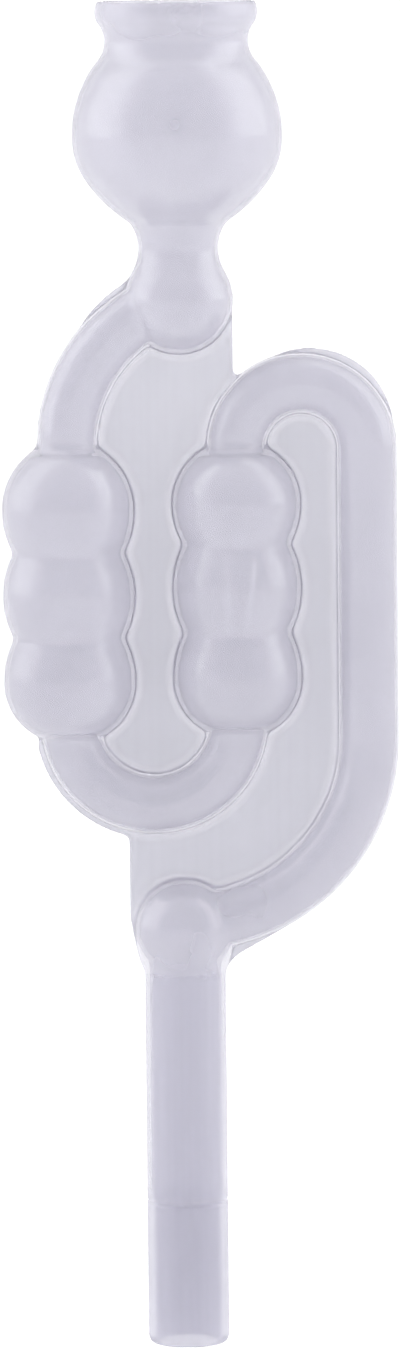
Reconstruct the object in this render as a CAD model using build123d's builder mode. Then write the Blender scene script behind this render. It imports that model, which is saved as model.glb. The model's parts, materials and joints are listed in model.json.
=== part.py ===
from build123d import *
from math import acos, asin, degrees
import os

os.makedirs("parts", exist_ok=True)

# S-bend airlock, blown in one piece from clear plastic: a water reservoir over a folded gas path.
# Millimetres, +Z up. The origin is the centre of the stem's open lower end, and the S lies in the XZ plane.
# Each node is one section of the moulding and meets the next face to face where the shape creases.

# ---- Driving dimensions ----
wall = 0.6  # blown wall of the bulb, chambers and tubes
tube_radius = 3.5
bore_radius = tube_radius - wall
web_thickness = 1.0  # the mould halves pinch the plastic into one sheet between the tubes
bead_thickness = 1.5  # thicker strip along the free edge of a web
flash_thickness = 0.8  # thin fin left along the parting line

# Stem: a plain tube that a bung grips. Its end has a thicker wall, and so a step in the bore.
stem_radius = 4.55
stem_bore = 3.65
tip_bore = 3.4
tip_rounding = 0.9
tip_top = 16.4
stem_top = 42.3

# Ball sockets, where the gas path turns out of the stem and into the reservoir
lower_ball_z = 47.1
lower_ball_radius = 5.7
upper_ball_z = 117.5
upper_ball_radius = 6.1

# Reservoir, as (radius, height) on its outer face
neck_bottom = 120.8
neck_waist = (4.5, 123.4)
neck_top = (5.35, 126.0)
bulb_flank = (10.1, 130.5)
bulb_equator = (11.75, 135.6)
bulb_shoulder = (9.1, 143.7)
groove = (8.0, 146.3)
rim_band_low = (9.05, 148.5)
rim_band_high = (9.05, 149.8)
lip_crown = (8.6, 150.8)
mouth_radius = 8.25

# Columns of the S along X, and the heights of each chamber's ends, creases and widest rings
left_x = -12.55
centre_x = 6.2
outer_x = 20.7
left_rings = dict(floor=68.9, creases=(79.9, 89.4), equators=(75.0, 94.2), roof=101.0)
centre_rings = dict(floor=69.4, creases=(80.4, 90.3), equators=(75.2, 94.8), roof=100.9)
left_chamber_radius = 7.45
centre_chamber_radius = 7.25
crease_depth = 1.2
chamber_mouth_radius = 3.8

# Bends: the height of each centre, and its centre-line radius
shoulder_z = 101.15
shoulder_bend = 17.2
shoulder_start = 184  # angle just under the left chamber's roof, where the tube is cut off
shoulder_end = 112  # angle at which its bore ends inside the upper ball
u_bend_z = 70.6
u_bend_radius = (centre_x - left_x) / 2
return_bend_radius = (outer_x - centre_x) / 2
lower_bend_z = 68.4
lower_bend_radius = 20.5
lower_end = -84  # angle at which its bore ends inside the lower ball

# Free edges of the webs. The lower one leans in beside the lower ball.
upper_edge_x = 6.0
lower_edge_x = -6.15
bead_width = 1.2
lean_start = (lower_edge_x, lower_ball_z + 1.5)
lean_end = (lower_edge_x + 0.5, lower_ball_z - 1.4)

# Fins outside the bends: (radius, angle) about the bend's centre at the start, crest and end of each
shoulder_fin_line = ((20.72, 139), (21.2, 127), (21.3, 118))
return_fin_line = ((10.75, 16), (11.5, 56), (10.75, 106))
u_fin_width = 0.6
u_fin_start = -170
heel_toe = (11.5, 47.2)  # the last fin fills the corner between the lower bend and the stem
heel = (6.2, 44.1)
heel_curve = (5.05, 43.25)

hidden = 1  # how far a cut or an outline runs on inside or past a solid, where it doesn't show
far = 200  # more than the whole object

shoulder_centre = (left_x + shoulder_bend, shoulder_z)
u_bend_centre = ((left_x + centre_x) / 2, u_bend_z)
return_centre = ((centre_x + outer_x) / 2, centre_rings["roof"])
lower_centre = (outer_x - lower_bend_radius, lower_bend_z)


# ---- Helpers ----
def keep(part, name):
    part.label = name
    export_step(part, f"parts/{name}.step")


def upright(x=0.0):
    """The plane of the S with its origin at the foot of the column at x; its local Y is up."""
    return Plane(origin=(x, 0, 0), x_dir=(1, 0, 0), z_dir=(0, -1, 0))


def wall_section(outline, mouths):
    """The right half of a hollow profile. A mouth is (radius, low, high) where an end is open."""
    with BuildSketch() as section:
        with BuildLine():
            add(outline)
            mirror(outline, about=Plane.YZ)
            for end in (outline @ 0, outline @ 1):
                if end.X > 0.01:
                    Line(end, (-end.X, end.Y))
        make_face()
        offset(amount=-wall, mode=Mode.SUBTRACT)
        for radius, low, high in mouths:
            with Locations((0, (low + high) / 2)):
                Rectangle(2 * radius, high - low, mode=Mode.SUBTRACT)
        with Locations((far / 2, 0)):
            Rectangle(far, 2 * far, mode=Mode.INTERSECT)
    return section.sketch


def turned(section, low, high, x=0.0):
    """The slice of a wall section between two heights, turned about the column at x."""
    with BuildPart() as piece:
        with BuildSketch(upright(x)):
            add(section)
            with Locations((far / 2, (low + high) / 2)):
                Rectangle(far, high - low, mode=Mode.INTERSECT)
        revolve(axis=Axis((x, 0, 0), (0, 0, 1)))
    return piece.part


def bent_rod(centre, bend, start, arc, radius):
    """A solid round rod bent about a centre in the plane of the S. Angles run from +X towards +Z."""
    with BuildPart() as rod:
        with BuildLine(upright()) as path:
            CenterArc(centre, bend, start, arc)
        with BuildSketch(Plane(origin=path.line @ 0, z_dir=path.line % 0)):
            Circle(radius)
        sweep(path=path.line)
    return rod.part


def chamber_outline(rings, radius):
    """The outer curve of a three-lobed chamber, from its floor to its roof."""
    low_crease, high_crease = rings["creases"]
    low_equator, high_equator = rings["equators"]
    crease_radius = radius - crease_depth
    with BuildLine() as outline:
        TangentArc((radius, low_equator), (chamber_mouth_radius, rings["floor"]), tangent=(0, -1))
        TangentArc((radius, low_equator), (crease_radius, low_crease), tangent=(0, 1))
        middle = (radius, (low_crease + high_crease) / 2)
        ThreePointArc((crease_radius, low_crease), middle, (crease_radius, high_crease))
        TangentArc((radius, high_equator), (crease_radius, high_crease), tangent=(0, -1))
        TangentArc((radius, high_equator), (chamber_mouth_radius, rings["roof"]), tangent=(0, 1))
    return outline.line


def chamber(rings, radius, x):
    """The three lobes of a chamber from the lowest to the highest, with a tube's bore at each end."""
    ends = [(bore_radius, rings["floor"], rings["floor"] + 2 * wall)]
    ends.append((bore_radius, rings["roof"] - 2 * wall, rings["roof"]))
    section = wall_section(chamber_outline(rings, radius), ends)
    levels = [rings["floor"], *rings["creases"], rings["roof"]]
    return [turned(section, low, high, x) for low, high in zip(levels, levels[1:])]


def filled(outline, x=0.0):
    """The solid inside an outline, turned about the column at x. It cuts what butts against the outside."""
    ends = [outline @ 1, outline @ 0]
    on_axis = [Vector(0, end.Y) for end in ends]
    with BuildPart() as solid:
        with BuildSketch(upright(x)):
            with BuildLine():
                add(outline)
                Line(on_axis[0], on_axis[1])
                for end, foot in zip(ends, on_axis):
                    if end.X > 0.01:
                        Line(end, foot)
            make_face()
        revolve(axis=Axis((x, 0, 0), (0, 0, 1)))
    return solid.part


# ---- Outlines of the reservoir end and of the lower socket ----
with BuildLine() as head_outline:
    ball_angle = degrees(asin((neck_bottom - upper_ball_z) / upper_ball_radius))
    ball = CenterArc((0, upper_ball_z), upper_ball_radius, -90, 90 + ball_angle)
    ThreePointArc(ball @ 1, neck_waist, neck_top)
    flank = TangentArc(bulb_equator, bulb_flank, tangent=(0, -1))
    TangentArc(bulb_flank, neck_top, tangent=flank % 1)
    TangentArc(bulb_equator, bulb_shoulder, tangent=(0, 1))
    ThreePointArc(bulb_shoulder, groove, rim_band_low)
    Line(rim_band_low, rim_band_high)
    TangentArc(rim_band_high, lip_crown, tangent=(0, 1))
    Line(lip_crown, (mouth_radius, lip_crown[1]))

with BuildLine() as socket_outline:
    dome = CenterArc((0, lower_ball_z), lower_ball_radius, 0, 90)
    TangentArc(dome @ 0, (stem_radius, stem_top), tangent=(0, -1))

head_section = wall_section(head_outline.line, [(mouth_radius, rim_band_low[1], lip_crown[1])])


# Filled outer shapes of the tubes and balls. The webs and fins stop at them.
head_solid = filled(head_outline.line)
socket_solid = filled(socket_outline.line)
left_solid = filled(chamber_outline(left_rings, left_chamber_radius), left_x)
centre_solid = filled(chamber_outline(centre_rings, centre_chamber_radius), centre_x)
shoulder_turn = (shoulder_centre, shoulder_bend, shoulder_start, shoulder_end - shoulder_start)
u_turn = (u_bend_centre, u_bend_radius, 180, 180)
return_turn = (return_centre, return_bend_radius, 180, -180)
lower_turn = (lower_centre, lower_bend_radius, 0, lower_end)
rods = [bent_rod(*turn, tube_radius) for turn in (shoulder_turn, u_turn, return_turn, lower_turn)]
shoulder_rod, u_rod, return_rod, lower_rod = rods
with BuildPart() as outer_rod:
    with BuildSketch(Plane.XY.offset(lower_bend_z)):
        with Locations((outer_x, 0)):
            Circle(tube_radius)
    extrude(amount=centre_rings["roof"] - lower_bend_z)
blocks = [head_solid, socket_solid, left_solid, centre_solid, *rods, outer_rod.part]

# ---- Reservoir end ----
keep(turned(head_section, groove[1], lip_crown[1]), "rim_lip")
keep(turned(head_section, neck_top[1], groove[1]), "reservoir_bulb")
keep(turned(head_section, neck_bottom, neck_top[1]), "neck")

with BuildPart() as upper_socket:
    add(turned(head_section, upper_ball_z - upper_ball_radius - hidden, neck_bottom))
    add(bent_rod(*shoulder_turn, bore_radius), mode=Mode.SUBTRACT)
keep(upper_socket.part, "upper_socket")

# ---- The folded gas path ----
with BuildPart() as shoulder_tube:
    add(shoulder_rod)
    add(bent_rod(*shoulder_turn, bore_radius), mode=Mode.SUBTRACT)
    split(bisect_by=Plane.XY.offset(left_rings["roof"]), keep=Keep.TOP)
    add(head_solid, mode=Mode.SUBTRACT)
keep(shoulder_tube.part, "shoulder_tube")

left_lobes = chamber(left_rings, left_chamber_radius, left_x)
centre_lobes = chamber(centre_rings, centre_chamber_radius, centre_x)
for level, left_lobe, centre_lobe in zip(("lower", "middle", "upper"), left_lobes, centre_lobes):
    keep(left_lobe, f"left_chamber_{level}")
    keep(centre_lobe, f"centre_chamber_{level}")

with BuildPart() as u_tube:
    add(u_rod)
    add(bent_rod(*u_turn, bore_radius), mode=Mode.SUBTRACT)
    for x, floor in ((left_x, left_rings["floor"]), (centre_x, centre_rings["floor"])):
        with BuildSketch(Plane.XY.offset(floor)):
            with Locations((x, 0)):
                Circle(tube_radius + hidden)
        extrude(amount=tube_radius, mode=Mode.SUBTRACT)
keep(u_tube.part, "u_bend")

with BuildPart() as return_tube:
    add(return_rod)
    add(bent_rod(*return_turn, bore_radius), mode=Mode.SUBTRACT)
keep(return_tube.part, "return_bend")

with BuildPart() as outer_tube:
    with BuildSketch(Plane.XY.offset(lower_bend_z)):
        with Locations((outer_x, 0)):
            Circle(tube_radius)
            Circle(bore_radius, mode=Mode.SUBTRACT)
    extrude(amount=centre_rings["roof"] - lower_bend_z)
keep(outer_tube.part, "outer_tube")

with BuildPart() as lower_tube:
    add(lower_rod)
    add(bent_rod(*lower_turn, bore_radius), mode=Mode.SUBTRACT)
    add(socket_solid, mode=Mode.SUBTRACT)
keep(lower_tube.part, "lower_bend")

# The bore is cut before the hollow, so that it is open all the way into it.
with BuildPart() as lower_socket:
    add(socket_solid)
    split(bisect_by=Plane.XY.offset(stem_top), keep=Keep.TOP)
    add(bent_rod(*lower_turn, bore_radius), mode=Mode.SUBTRACT)
    with Locations((0, 0, lower_ball_z)):
        Sphere(lower_ball_radius - wall, mode=Mode.SUBTRACT)
    with BuildSketch(Plane.XY.offset(stem_top)):
        Circle(stem_bore)
    extrude(amount=lower_ball_z - stem_top, mode=Mode.SUBTRACT)
keep(lower_socket.part, "lower_socket")

# ---- Stem ----
with BuildPart() as stem:
    with BuildSketch(Plane.XY.offset(tip_top)):
        Circle(stem_radius)
        Circle(stem_bore, mode=Mode.SUBTRACT)
    extrude(amount=stem_top - tip_top)
keep(stem.part, "stem")

with BuildPart() as stem_tip:
    with BuildSketch():
        Circle(stem_radius)
        Circle(tip_bore, mode=Mode.SUBTRACT)
    extrude(amount=tip_top)
    end_edges = stem_tip.edges().filter_by(GeomType.CIRCLE).group_by(Axis.Z)[0]
    fillet(end_edges.sort_by(SortBy.LENGTH)[-1], tip_rounding)
keep(stem_tip.part, "stem_tip")


# ---- Webs: flat sheets that fill the loops of the S, out to a thickened free edge ----
def sheet(outline, thickness, free_side=None):
    """A flat sheet on the parting plane, cut back to the outside of every tube, ball and chamber.

    free_side 0 rounds the long corners on its -X side, and -1 those on its +X side.
    """
    with BuildPart() as piece:
        with BuildSketch(upright()):
            add(make_face(outline).faces())
        extrude(amount=thickness / 2, both=True)
        if free_side is not None:
            corners = piece.edges().filter_by(Axis.Z).group_by(Axis.X)
            fillet(corners[free_side], thickness / 3)
        for block in blocks:
            add(block, mode=Mode.SUBTRACT)
    return piece.part


upper_web_x = upper_edge_x - bead_width
lower_web_x = lower_edge_x + bead_width
with BuildLine() as upper_loop:
    Line((left_x, u_bend_z), (left_x, shoulder_z))
    over = CenterArc(shoulder_centre, shoulder_bend, 180, shoulder_end - 180)
    across = Line(over @ 1, (upper_web_x, upper_ball_z))
    down = Line(across @ 1, (upper_web_x, centre_rings["roof"] - hidden))
    inset = Line(down @ 1, (centre_x, (down @ 1).Y))
    Line(inset @ 1, (centre_x, u_bend_z))
    CenterArc(u_bend_centre, u_bend_radius, 0, -180)
keep(sheet(upper_loop.line, web_thickness), "upper_web")

with BuildLine() as lower_loop:
    Line((centre_x, u_bend_z), (centre_x, centre_rings["roof"]))
    CenterArc(return_centre, return_bend_radius, 180, -180)
    Line((outer_x, centre_rings["roof"]), (outer_x, lower_bend_z))
    under = CenterArc(lower_centre, lower_bend_radius, 0, -90)
    foot = Line(under @ 1, (lower_web_x, (under @ 1).Y))
    edge_angle = -degrees(acos((lower_web_x - u_bend_centre[0]) / u_bend_radius))
    below = CenterArc(u_bend_centre, u_bend_radius, edge_angle, -edge_angle)
    Line(foot @ 1, below @ 0)
keep(sheet(lower_loop.line, web_thickness), "lower_web")

# Thickened strips along the webs' free edges
with BuildLine() as upper_edge:
    Polyline(
        (upper_web_x, return_centre[1]),
        (upper_edge_x, return_centre[1]),
        (upper_edge_x, upper_ball_z - hidden),
        (upper_web_x, upper_ball_z - hidden),
        close=True,
    )
keep(sheet(upper_edge.line, bead_thickness, -1), "upper_web_edge")

with BuildLine() as lower_edge:
    Polyline(
        (lower_web_x, u_bend_z - u_bend_radius),
        (lower_edge_x, u_bend_z - u_bend_radius),
        lean_start,
        lean_end,
        (lower_web_x, lower_ball_z),
        close=True,
    )
keep(sheet(lower_edge.line, bead_thickness, 0), "lower_web_edge")

# ---- Fins left outside the bends where the mould halves met ----
def crescent(centre, bend, line):
    """A fin's outline: an arc through its three points, closed inside the bend's tube."""
    points = [Vector(*centre) + Vector(radius, 0).rotate(Axis.Z, angle) for radius, angle in line]
    inside = Vector(*centre) + Vector(bend, 0).rotate(Axis.Z, line[1][1])
    with BuildLine() as outline:
        ThreePointArc(*points)
        Polyline(points[2], inside, points[0])
    return outline.line


keep(sheet(crescent(shoulder_centre, shoulder_bend, shoulder_fin_line), flash_thickness), "shoulder_fin")
keep(sheet(crescent(return_centre, return_bend_radius, return_fin_line), flash_thickness), "return_fin")

with BuildLine() as u_fin:
    ends = []
    for radius in (u_bend_radius + tube_radius + u_fin_width, u_bend_radius):
        stop = -degrees(acos((lower_edge_x - u_bend_centre[0]) / radius))
        line = CenterArc(u_bend_centre, radius, u_fin_start, stop - u_fin_start)
        ends.append((line @ 0, line @ 1))
    for outer_end, inner_end in zip(*ends):
        Line(outer_end, inner_end)
keep(sheet(u_fin.line, flash_thickness), "u_bend_fin")

with BuildLine() as heel_outline:
    corner = (stem_radius, stem_top + hidden / 2)
    Line(heel_toe, heel)
    ThreePointArc(heel, heel_curve, corner)
    Polyline(corner, (stem_radius - hidden, lower_ball_z), (heel_toe[0], heel_toe[1] + tube_radius), heel_toe)
keep(sheet(heel_outline.line, flash_thickness), "heel_fin")
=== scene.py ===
import json
import math

import bpy
import numpy as np
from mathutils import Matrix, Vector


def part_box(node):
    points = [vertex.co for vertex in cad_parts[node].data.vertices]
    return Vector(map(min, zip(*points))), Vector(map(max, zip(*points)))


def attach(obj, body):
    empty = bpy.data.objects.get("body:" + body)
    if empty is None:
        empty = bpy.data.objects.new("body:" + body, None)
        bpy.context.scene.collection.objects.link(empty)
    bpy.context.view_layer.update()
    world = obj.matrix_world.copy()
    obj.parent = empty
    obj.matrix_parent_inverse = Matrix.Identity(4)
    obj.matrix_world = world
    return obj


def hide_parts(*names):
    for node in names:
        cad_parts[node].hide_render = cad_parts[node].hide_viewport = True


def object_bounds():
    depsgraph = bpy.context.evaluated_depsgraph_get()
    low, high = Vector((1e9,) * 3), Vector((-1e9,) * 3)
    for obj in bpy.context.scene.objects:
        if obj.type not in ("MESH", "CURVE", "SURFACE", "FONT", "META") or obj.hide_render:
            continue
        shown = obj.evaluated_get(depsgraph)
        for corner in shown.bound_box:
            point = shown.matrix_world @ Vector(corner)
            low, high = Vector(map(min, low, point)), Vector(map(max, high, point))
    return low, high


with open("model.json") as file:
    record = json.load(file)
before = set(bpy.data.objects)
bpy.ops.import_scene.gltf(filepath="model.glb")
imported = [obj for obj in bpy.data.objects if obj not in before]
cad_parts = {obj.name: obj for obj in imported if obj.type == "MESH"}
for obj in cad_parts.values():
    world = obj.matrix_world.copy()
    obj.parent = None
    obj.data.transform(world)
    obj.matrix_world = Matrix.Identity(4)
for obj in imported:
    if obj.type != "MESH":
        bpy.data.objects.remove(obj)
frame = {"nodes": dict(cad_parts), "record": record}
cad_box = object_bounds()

import openvdb as vdb
from mathutils import Matrix, Vector

# S-bend airlock, blown in one piece from milky clear plastic. The CAD nodes are sections of that one
# moulding, so their outer and inner faces are joined here into one skin with soft creases, which is
# then cut back into one piece per node. Everything is in metres, in the frame of the CAD.

MM = 0.001
VOXEL = 0.25 * MM  # step of the grid that the skin is made on
BAND = 4  # voxels of true distance that are kept on each side of a face
CLOSING = 0.06 * MM  # joins sections that only touch
SOFTENING = 1.1  # blur that rounds the creases, in voxels
MARGIN = 8  # empty voxels round the object
ROUNDING = [0.6, -0.61] * 20  # shares of the way to the neighbours' mean, one step after another
BLENDING = [0.7] * 24  # the same for the haze

# The share of light that each face scatters, by its slot, and by its node where the wall is thicker
SLOT_HAZE = {"blown_plastic": 0.25, "web_plastic": 0.51, "stem_plastic": 0.29}
NODE_HAZE = {"stem_tip": 0.35, "rim_lip": 0.34}
HAZE_RISES_BELOW = 110 * MM  # from here down the haze rises slowly, so the lower part is darker
HAZE_RISE = 0.36  # rise of the haze from there to the origin


# ---- The skin's distance field ----
low_corner, high_corner = (np.array(corner) for corner in cad_box)
grid_start = np.floor(low_corner / VOXEL).astype(int) - MARGIN
grid_shape = tuple(np.ceil(high_corner / VOXEL).astype(int) + MARGIN + 1 - grid_start)


def distance_to(points, triangles=None, quads=None):
    """Signed distance to a closed surface on the whole grid, negative inside, clamped to the band."""
    grid = vdb.FloatGrid.createLevelSetFromPolygons(
        points.astype(np.float32),
        triangles=triangles,
        quads=quads,
        transform=vdb.createLinearTransform(VOXEL),
        halfWidth=float(BAND),
    )
    field = np.empty(grid_shape, np.float32)
    grid.copyToArray(field, ijk=tuple(int(i) for i in grid_start))
    return field


def surface_of(field, level):
    """The points and quads of the surface where a field has a level."""
    grid = vdb.FloatGrid(float(BAND * VOXEL))
    grid.copyFromArray(field, ijk=tuple(int(i) for i in grid_start))
    grid.transform = vdb.createLinearTransform(VOXEL)
    points, triangles, quads = grid.convertToPolygons(isovalue=float(level), adaptivity=0.0)
    return points.astype(np.float64), triangles, quads


def node_triangles(obj):
    """The vertices and triangles of a CAD node."""
    mesh = obj.data
    mesh.calc_loop_triangles()
    points = np.empty(len(mesh.vertices) * 3, np.float32)
    corners = np.empty(len(mesh.loop_triangles) * 3, np.int32)
    mesh.vertices.foreach_get("co", points)
    mesh.loop_triangles.foreach_get("vertices", corners)
    return points.reshape(-1, 3), corners.reshape(-1, 3).astype(np.uint32)


def blurred(field, sigma):
    """A field smoothed along its three axes by a Gaussian of sigma voxels."""
    reach = int(math.ceil(2.5 * sigma))
    steps = np.arange(-reach, reach + 1)
    weights = np.exp(-0.5 * (steps / sigma) ** 2)
    weights /= weights.sum()
    for axis in range(3):
        total = np.zeros_like(field)
        for step, weight in zip(steps, weights):
            total += np.float32(weight) * np.roll(field, step, axis=axis)
        field = total
    return field


def averaged(values, quads, steps):
    """Values at the skin's points, each moved towards its neighbours' mean by every step in turn."""
    links = np.concatenate([quads[:, [side, (side + 1) % 4]] for side in range(4)])
    one, other = links.T
    count = np.bincount(one, minlength=len(values)) + np.bincount(other, minlength=len(values))
    values = values.copy()
    for step in steps:
        for column in values.T:
            total = np.bincount(one, column[other], len(column))
            total += np.bincount(other, column[one], len(column))
            column += step * (total / count - column)
    return values


def facing(points, quads):
    """The unit normal at each point of the skin."""
    corners = points[quads]
    across = np.cross(corners[:, 2] - corners[:, 0], corners[:, 3] - corners[:, 1])
    total = np.zeros_like(points)
    for axis in range(3):
        weights = np.repeat(across[:, axis], 4)
        total[:, axis] = np.bincount(quads.ravel(), weights, len(points))
    return total / np.maximum(np.linalg.norm(total, axis=1), 1e-15)[:, None]


names = sorted(frame["nodes"])
joined = np.full(grid_shape, BAND * VOXEL, np.float32)
owner = np.zeros(grid_shape, np.int8)
for index, name in enumerate(names):
    own = distance_to(*node_triangles(frame["nodes"][name]))
    nearer = own < joined
    joined[nearer] = own[nearer]
    owner[nearer] = index

# The joined field is zero where two sections touch. A surface a little outside it closes those cracks.
points, triangles, quads = surface_of(joined, CLOSING)
skin = blurred(distance_to(points, triangles, quads), SOFTENING)
points, triangles, quads = surface_of(skin, -CLOSING)

# Steps of opposite sign round the creases and leave the tubes' size alone.
points = averaged(points, quads, ROUNDING)
normals = facing(points, quads)


def place(name, x, z):
    """A point of the front view (x, z), as shares of a node's box."""
    low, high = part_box(name)
    return low[0] + x * (high[0] - low[0]), low[2] + z * (high[2] - low[2])


front = np.clip(-normals[:, 1], 0, 1)


def front_line(start, end, width):
    """How much each point belongs to a line drawn on the front, which fades at its two ends."""
    start, end = np.array(start), np.array(end)
    along = (end - start) / np.linalg.norm(end - start)
    flat = points[:, [0, 2]] - start
    share = flat @ along / np.linalg.norm(end - start)
    off = flat @ np.array([-along[1], along[0]])
    fade = np.clip(share * 8, 0, 1) * np.clip((1 - share) * 8, 0, 1)
    return np.exp(-((off / width) ** 2)) * fade * front * (points[:, 1] < -3 * MM)


def painted_reflection_spot(centre, width):
    """How much each point belongs to a soft round spot on the front, the mask of a painted reflection."""
    away = np.linalg.norm(points[:, [0, 2]] - np.array(centre), axis=1)
    return np.exp(-((away / width) ** 2)) * front * (points[:, 1] < -9 * MM)


def stem_ring(width):
    """How much each point belongs to the ring round the stem where its end begins."""
    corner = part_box("stem_tip")[1]
    outside = np.hypot(points[:, 0], points[:, 1]) > 0.9 * corner[0]
    return np.exp(-(((points[:, 2] - corner[2]) / width) ** 2)) * outside


# Two creases left on the middle lobe, the groove of the ring round the stem, and a painted reflection of the
# camera on the bulb. Each has its height over the face, and the share by which it changes the haze: less haze
# paints highlights along the creases, more haze paints shade in the ring's groove and the dark spot of the
# reflection.
lobe = "centre_chamber_middle"
marks = [
    # painted highlights: the creases are raised, and their lower haze paints the light band and the bright
    # line along them
    (front_line(place(lobe, 0.62, 0.92), place(lobe, 0.575, 0.0), 0.24 * MM), 0.26 * MM, -0.45),
    (front_line(place(lobe, 0.43, 1.0), place(lobe, 0.43, 0.02), 0.45 * MM), 0.16 * MM, -0.30),
    # painted shade: the ring is a shallow groove, and its extra haze paints the shade in it
    (stem_ring(0.17 * MM), -0.10 * MM, 0.55),
    # painted reflection: the camera's reflection in the bulb, painted as a soft dark spot of extra haze
    (painted_reflection_spot(place("reservoir_bulb", 0.496, 0.556), 1.1 * MM), 0.0, 0.35),
]
points += sum(height * where for where, height, _ in marks)[:, None] * normals
normals = facing(points, quads)


# ---- One piece for each section ----
def face_owners(points, quads):
    centre = points[quads].mean(axis=1)
    i, j, k = np.round(centre / VOXEL - grid_start).astype(int).T
    return owner[i, j, k]


def make_piece(name, mine):
    """A section's share of the skin, with the whole skin's normals so that no seam shows."""
    used, corners = np.unique(quads[mine], return_inverse=True)
    corners = corners.reshape(-1, 4)
    mesh = bpy.data.meshes.new(name + "_skin")
    mesh.from_pydata(points[used].tolist(), [], corners.tolist())
    mesh.polygons.foreach_set("use_smooth", np.ones(len(corners), bool))
    mesh.attributes.new("haze_and_painted_light", "FLOAT", "POINT").data.foreach_set("value", haze_and_painted_light[used].astype(np.float32))
    mesh.normals_split_custom_set_from_vertices(normals[used].tolist())
    piece = bpy.data.objects.new(name + "_skin", mesh)
    bpy.context.scene.collection.objects.link(piece)
    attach(piece, "root")
    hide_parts(name)
    return piece


owners = face_owners(points, quads)
slots = {part["node"]: part["material_slot"] for part in frame["record"]["subparts"]}

# How milky each face is, from the wall behind it, blended where one thickness runs into another
face_haze = np.array([NODE_HAZE.get(name, SLOT_HAZE[slots[name]]) for name in names])[owners]
weight = np.bincount(quads.ravel(), minlength=len(points))
haze_and_painted_light = np.bincount(quads.ravel(), np.repeat(face_haze, 4), len(points)) / weight
haze_and_painted_light = averaged(haze_and_painted_light[:, None], quads, BLENDING)[:, 0]
haze_and_painted_light *= 1 + HAZE_RISE * np.clip(1 - points[:, 2] / HAZE_RISES_BELOW, 0, 1)
# painted light: the marks' changes of haze paint highlights along the creases, shade in the ring's groove and
# the camera's reflection on the bulb
haze_and_painted_light *= 1 + sum(change * where for where, _, change in marks)

pieces = {name: make_piece(name, owners == index) for index, name in enumerate(names)}


# ---- Materials ----
class Nodes:
    """Short calls for the node tree of a material or a world, which starts empty."""

    def __init__(self, owner):
        owner.use_nodes = True
        self.tree = owner.node_tree
        self.tree.nodes.clear()

    def add(self, kind, inputs=(), **settings):
        node = self.tree.nodes.new(kind)
        for key, value in settings.items():
            setattr(node, key, value)
        for key, value in dict(inputs).items():
            if isinstance(value, bpy.types.NodeSocket):
                self.tree.links.new(value, node.inputs[key])
            else:
                node.inputs[key].default_value = value
        return node

    def math(self, operation, first, second):
        return self.add("ShaderNodeMath", {0: first, 1: second}, operation=operation).outputs[0]

    def ramp(self, value, stops):
        """A colour that eases from stop to stop, each given as (position, colour)."""
        node = self.add("ShaderNodeValToRGB", {"Fac": value})
        node.color_ramp.interpolation = "EASE"
        elements = node.color_ramp.elements
        first, *between, last = stops
        for element, (position, colour) in zip(elements, (first, last)):
            element.position = position
            element.color = (*colour, 1)
        for position, colour in between:
            elements.new(position).color = (*colour, 1)
        return node.outputs["Color"]


# Tint of the clear share, from a face seen square on to one seen edge on, where light crosses more of it
CLEAR_BY_SLANT = [(0.0, (0.945, 0.942, 0.965)), (0.93, (0.957, 0.954, 0.974)), (1.0, (0.66, 0.66, 0.77))]
CLEAR_ROUGHNESS = 0.13
CLEAR_IOR = 1.09  # low, since a thin wall bends light far less than a solid block
GLOSS_ROUGHNESS = 0.2
GLOSS_IOR = 1.45
GLOSS_LIMIT = 0.13  # most of the light that the waxy face mirrors at a slant
WAVES_SCALE = 420.0  # waviness of the faces, in 1/m


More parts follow.
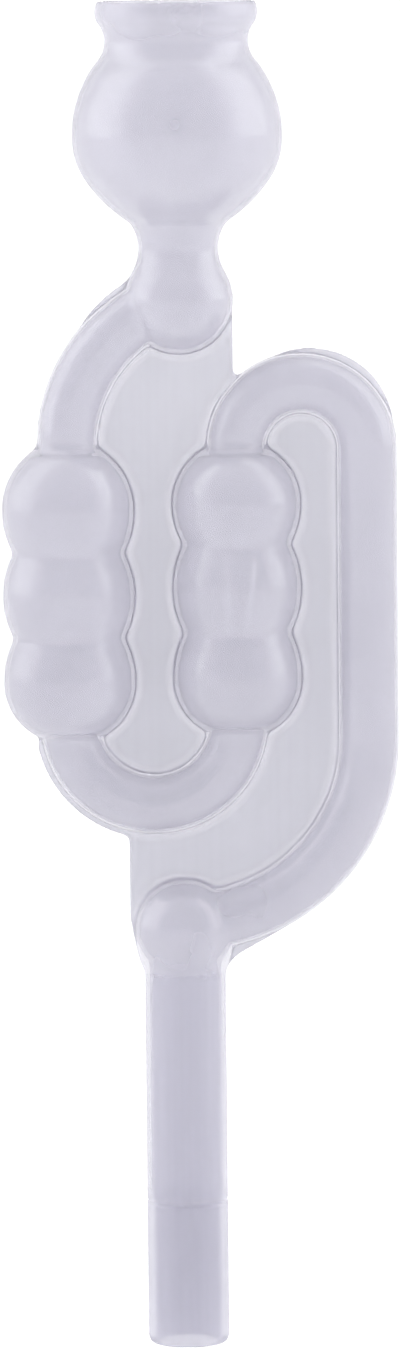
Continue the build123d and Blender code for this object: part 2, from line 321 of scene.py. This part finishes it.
def plastic(name, milk, stretch, grain, ripple):
    """Milky clear plastic: part of the light passes with a soft bend, and the haze scatters the rest.

    milk is the colour of the haze, stretch the scale of its flow marks along X, Y and Z in 1/m, grain how
    far they change the haze, and ripple the height of the waviness in the face.
    """
    material = bpy.data.materials.new(name)
    n = Nodes(material)
    spot = n.add("ShaderNodeTexCoord").outputs["Object"]
    flow = n.add("ShaderNodeMapping", {"Vector": spot, "Scale": stretch}).outputs[0]
    marks = n.add("ShaderNodeTexNoise", {"Vector": flow, "Scale": 1.0, "Detail": 1.5}).outputs["Fac"]
    waves = n.add("ShaderNodeTexNoise", {"Vector": spot, "Scale": WAVES_SCALE, "Detail": 2.0}).outputs["Fac"]
    bump = n.add("ShaderNodeBump", {"Height": waves, "Distance": ripple, "Strength": 1.0}).outputs[0]

    # the attribute holds the haze, with highlights, shade and a reflection painted into it
    own = n.add("ShaderNodeAttribute", attribute_name="haze_and_painted_light").outputs["Fac"]
    spread = {"From Min": 0.3, "From Max": 0.7, "To Min": 1 - grain, "To Max": 1 + grain}
    change = n.add("ShaderNodeMapRange", {"Value": marks, **spread}).outputs["Result"]
    haze_and_painted_light = n.math("MULTIPLY", own, change)

    slant = n.add("ShaderNodeLayerWeight", {"Blend": 0.5}).outputs["Facing"]
    clear = {"Color": n.ramp(slant, CLEAR_BY_SLANT), "Roughness": CLEAR_ROUGHNESS, "IOR": CLEAR_IOR}
    glass = n.add("ShaderNodeBsdfGlass", {**clear, "Normal": bump}).outputs[0]
    front = n.add("ShaderNodeBsdfDiffuse", {"Color": milk, "Normal": bump}).outputs[0]
    back = n.add("ShaderNodeBsdfTranslucent", {"Color": milk}).outputs[0]
    milky = n.add("ShaderNodeMixShader", {0: 0.5, 1: front, 2: back}).outputs[0]
    body = n.add("ShaderNodeMixShader", {0: haze_and_painted_light, 1: glass, 2: milky}).outputs[0]

    fresnel = n.add("ShaderNodeFresnel", {"IOR": GLOSS_IOR}).outputs[0]
    mirrored = n.math("MINIMUM", fresnel, GLOSS_LIMIT)
    gloss = n.add("ShaderNodeBsdfGlossy", {"Roughness": GLOSS_ROUGHNESS, "Normal": bump}).outputs[0]
    coated = n.add("ShaderNodeMixShader", {0: mirrored, 1: body, 2: gloss}).outputs[0]
    n.add("ShaderNodeOutputMaterial", {"Surface": coated})
    return material


blown_milk = (0.68, 0.67, 0.742, 1)
web_milk = (0.675, 0.67, 0.74, 1)
stem_milk = (0.64, 0.63, 0.718, 1)
materials = {
    "blown_plastic": plastic("blown_plastic", blown_milk, (160, 160, 110), 0.10, 0.05 * MM),
    "web_plastic": plastic("web_plastic", web_milk, (900, 200, 12), 0.02, 0.01 * MM),
    "stem_plastic": plastic("stem_plastic", stem_milk, (700, 700, 25), 0.04, 0.02 * MM),
}
for name, piece in pieces.items():
    piece.data.materials.append(materials[slots[name]])

# ---- Floor, light and camera ----
FLOOR_DROP = 12 * MM  # the floor lies this far below the stem's end
centre = (low_corner + high_corner) / 2
height = high_corner[2] - low_corner[2]

bpy.ops.mesh.primitive_plane_add(size=20, location=(0, 0, low_corner[2] - FLOOR_DROP))
floor = bpy.context.object
floor.name = "floor"
paint = bpy.data.materials.new("floor_paint")
paint.use_nodes = True
pale = paint.node_tree.nodes["Principled BSDF"].inputs
pale["Base Color"].default_value = (0.95, 0.95, 0.95, 1)
pale["Roughness"].default_value = 0.9
floor.data.materials.append(paint)

# The studio: white behind the object and at its sides, dim where the camera stands, with a bright
# upright panel at each side. The first ramp goes from the camera's side to the far side.
ROOM = [(0.04, (0.22, 0.22, 0.23)), (0.46, (1.15, 1.15, 1.15)), (0.75, (1.15, 1.15, 1.15))]
PANELS = [(0.82, (0.0, 0.0, 0.0)), (0.96, (1.25, 1.25, 1.25))]
world = bpy.data.worlds.new("studio")
bpy.context.scene.world = world
sky = Nodes(world)
way = sky.add("ShaderNodeTexCoord").outputs["Generated"]
away = sky.add("ShaderNodeSeparateXYZ", {0: way}).outputs["Y"]
depth = sky.add("ShaderNodeMapRange", {"Value": away, "From Min": -1.0, "From Max": 1.0}).outputs["Result"]
level = sky.add("ShaderNodeVectorMath", {0: way, 1: (1, 1, 0)}, operation="MULTIPLY").outputs[0]
turned = sky.add("ShaderNodeVectorMath", {0: level}, operation="NORMALIZE").outputs[0]
sidewise = sky.add("ShaderNodeSeparateXYZ", {0: turned}).outputs["X"]
sidewise = sky.math("ABSOLUTE", sidewise, 0.0)
parts = {0: sky.ramp(depth, ROOM), 1: sky.ramp(sidewise, PANELS)}
light = sky.add("ShaderNodeVectorMath", parts, operation="ADD").outputs[0]
glow = sky.add("ShaderNodeBackground", {"Color": light}).outputs[0]
sky.add("ShaderNodeOutputWorld", {"Surface": glow})
bpy.context.scene.view_settings.view_transform = "Standard"

EYE_DISTANCE = 0.82
EYE_ABOVE_TOP = 16 * MM
ROLL = math.radians(0.57)
AIM_OFFSET = (-0.14 * MM, 0.32 * MM)  # of the picture's middle from the object's, along X and Z
FRAME_FILL = 0.997  # picture's height over the object's

camera_data = bpy.data.cameras.new("camera")
camera = bpy.data.objects.new("camera", camera_data)
bpy.context.scene.collection.objects.link(camera)
aim = Vector((centre[0] + AIM_OFFSET[0], 0, centre[2] + AIM_OFFSET[1]))
eye = Vector((aim[0], -EYE_DISTANCE, high_corner[2] + EYE_ABOVE_TOP))
turn = (aim - eye).to_track_quat("-Z", "Y").to_matrix() @ Matrix.Rotation(-ROLL, 3, "Z")
camera.matrix_world = Matrix.Translation(eye) @ turn.to_4x4()
camera_data.sensor_fit = "VERTICAL"
camera_data.sensor_height = 36
camera_data.angle_y = 2 * math.atan(height / 2 / (aim - eye).length * FRAME_FILL)
bpy.context.scene.camera = camera
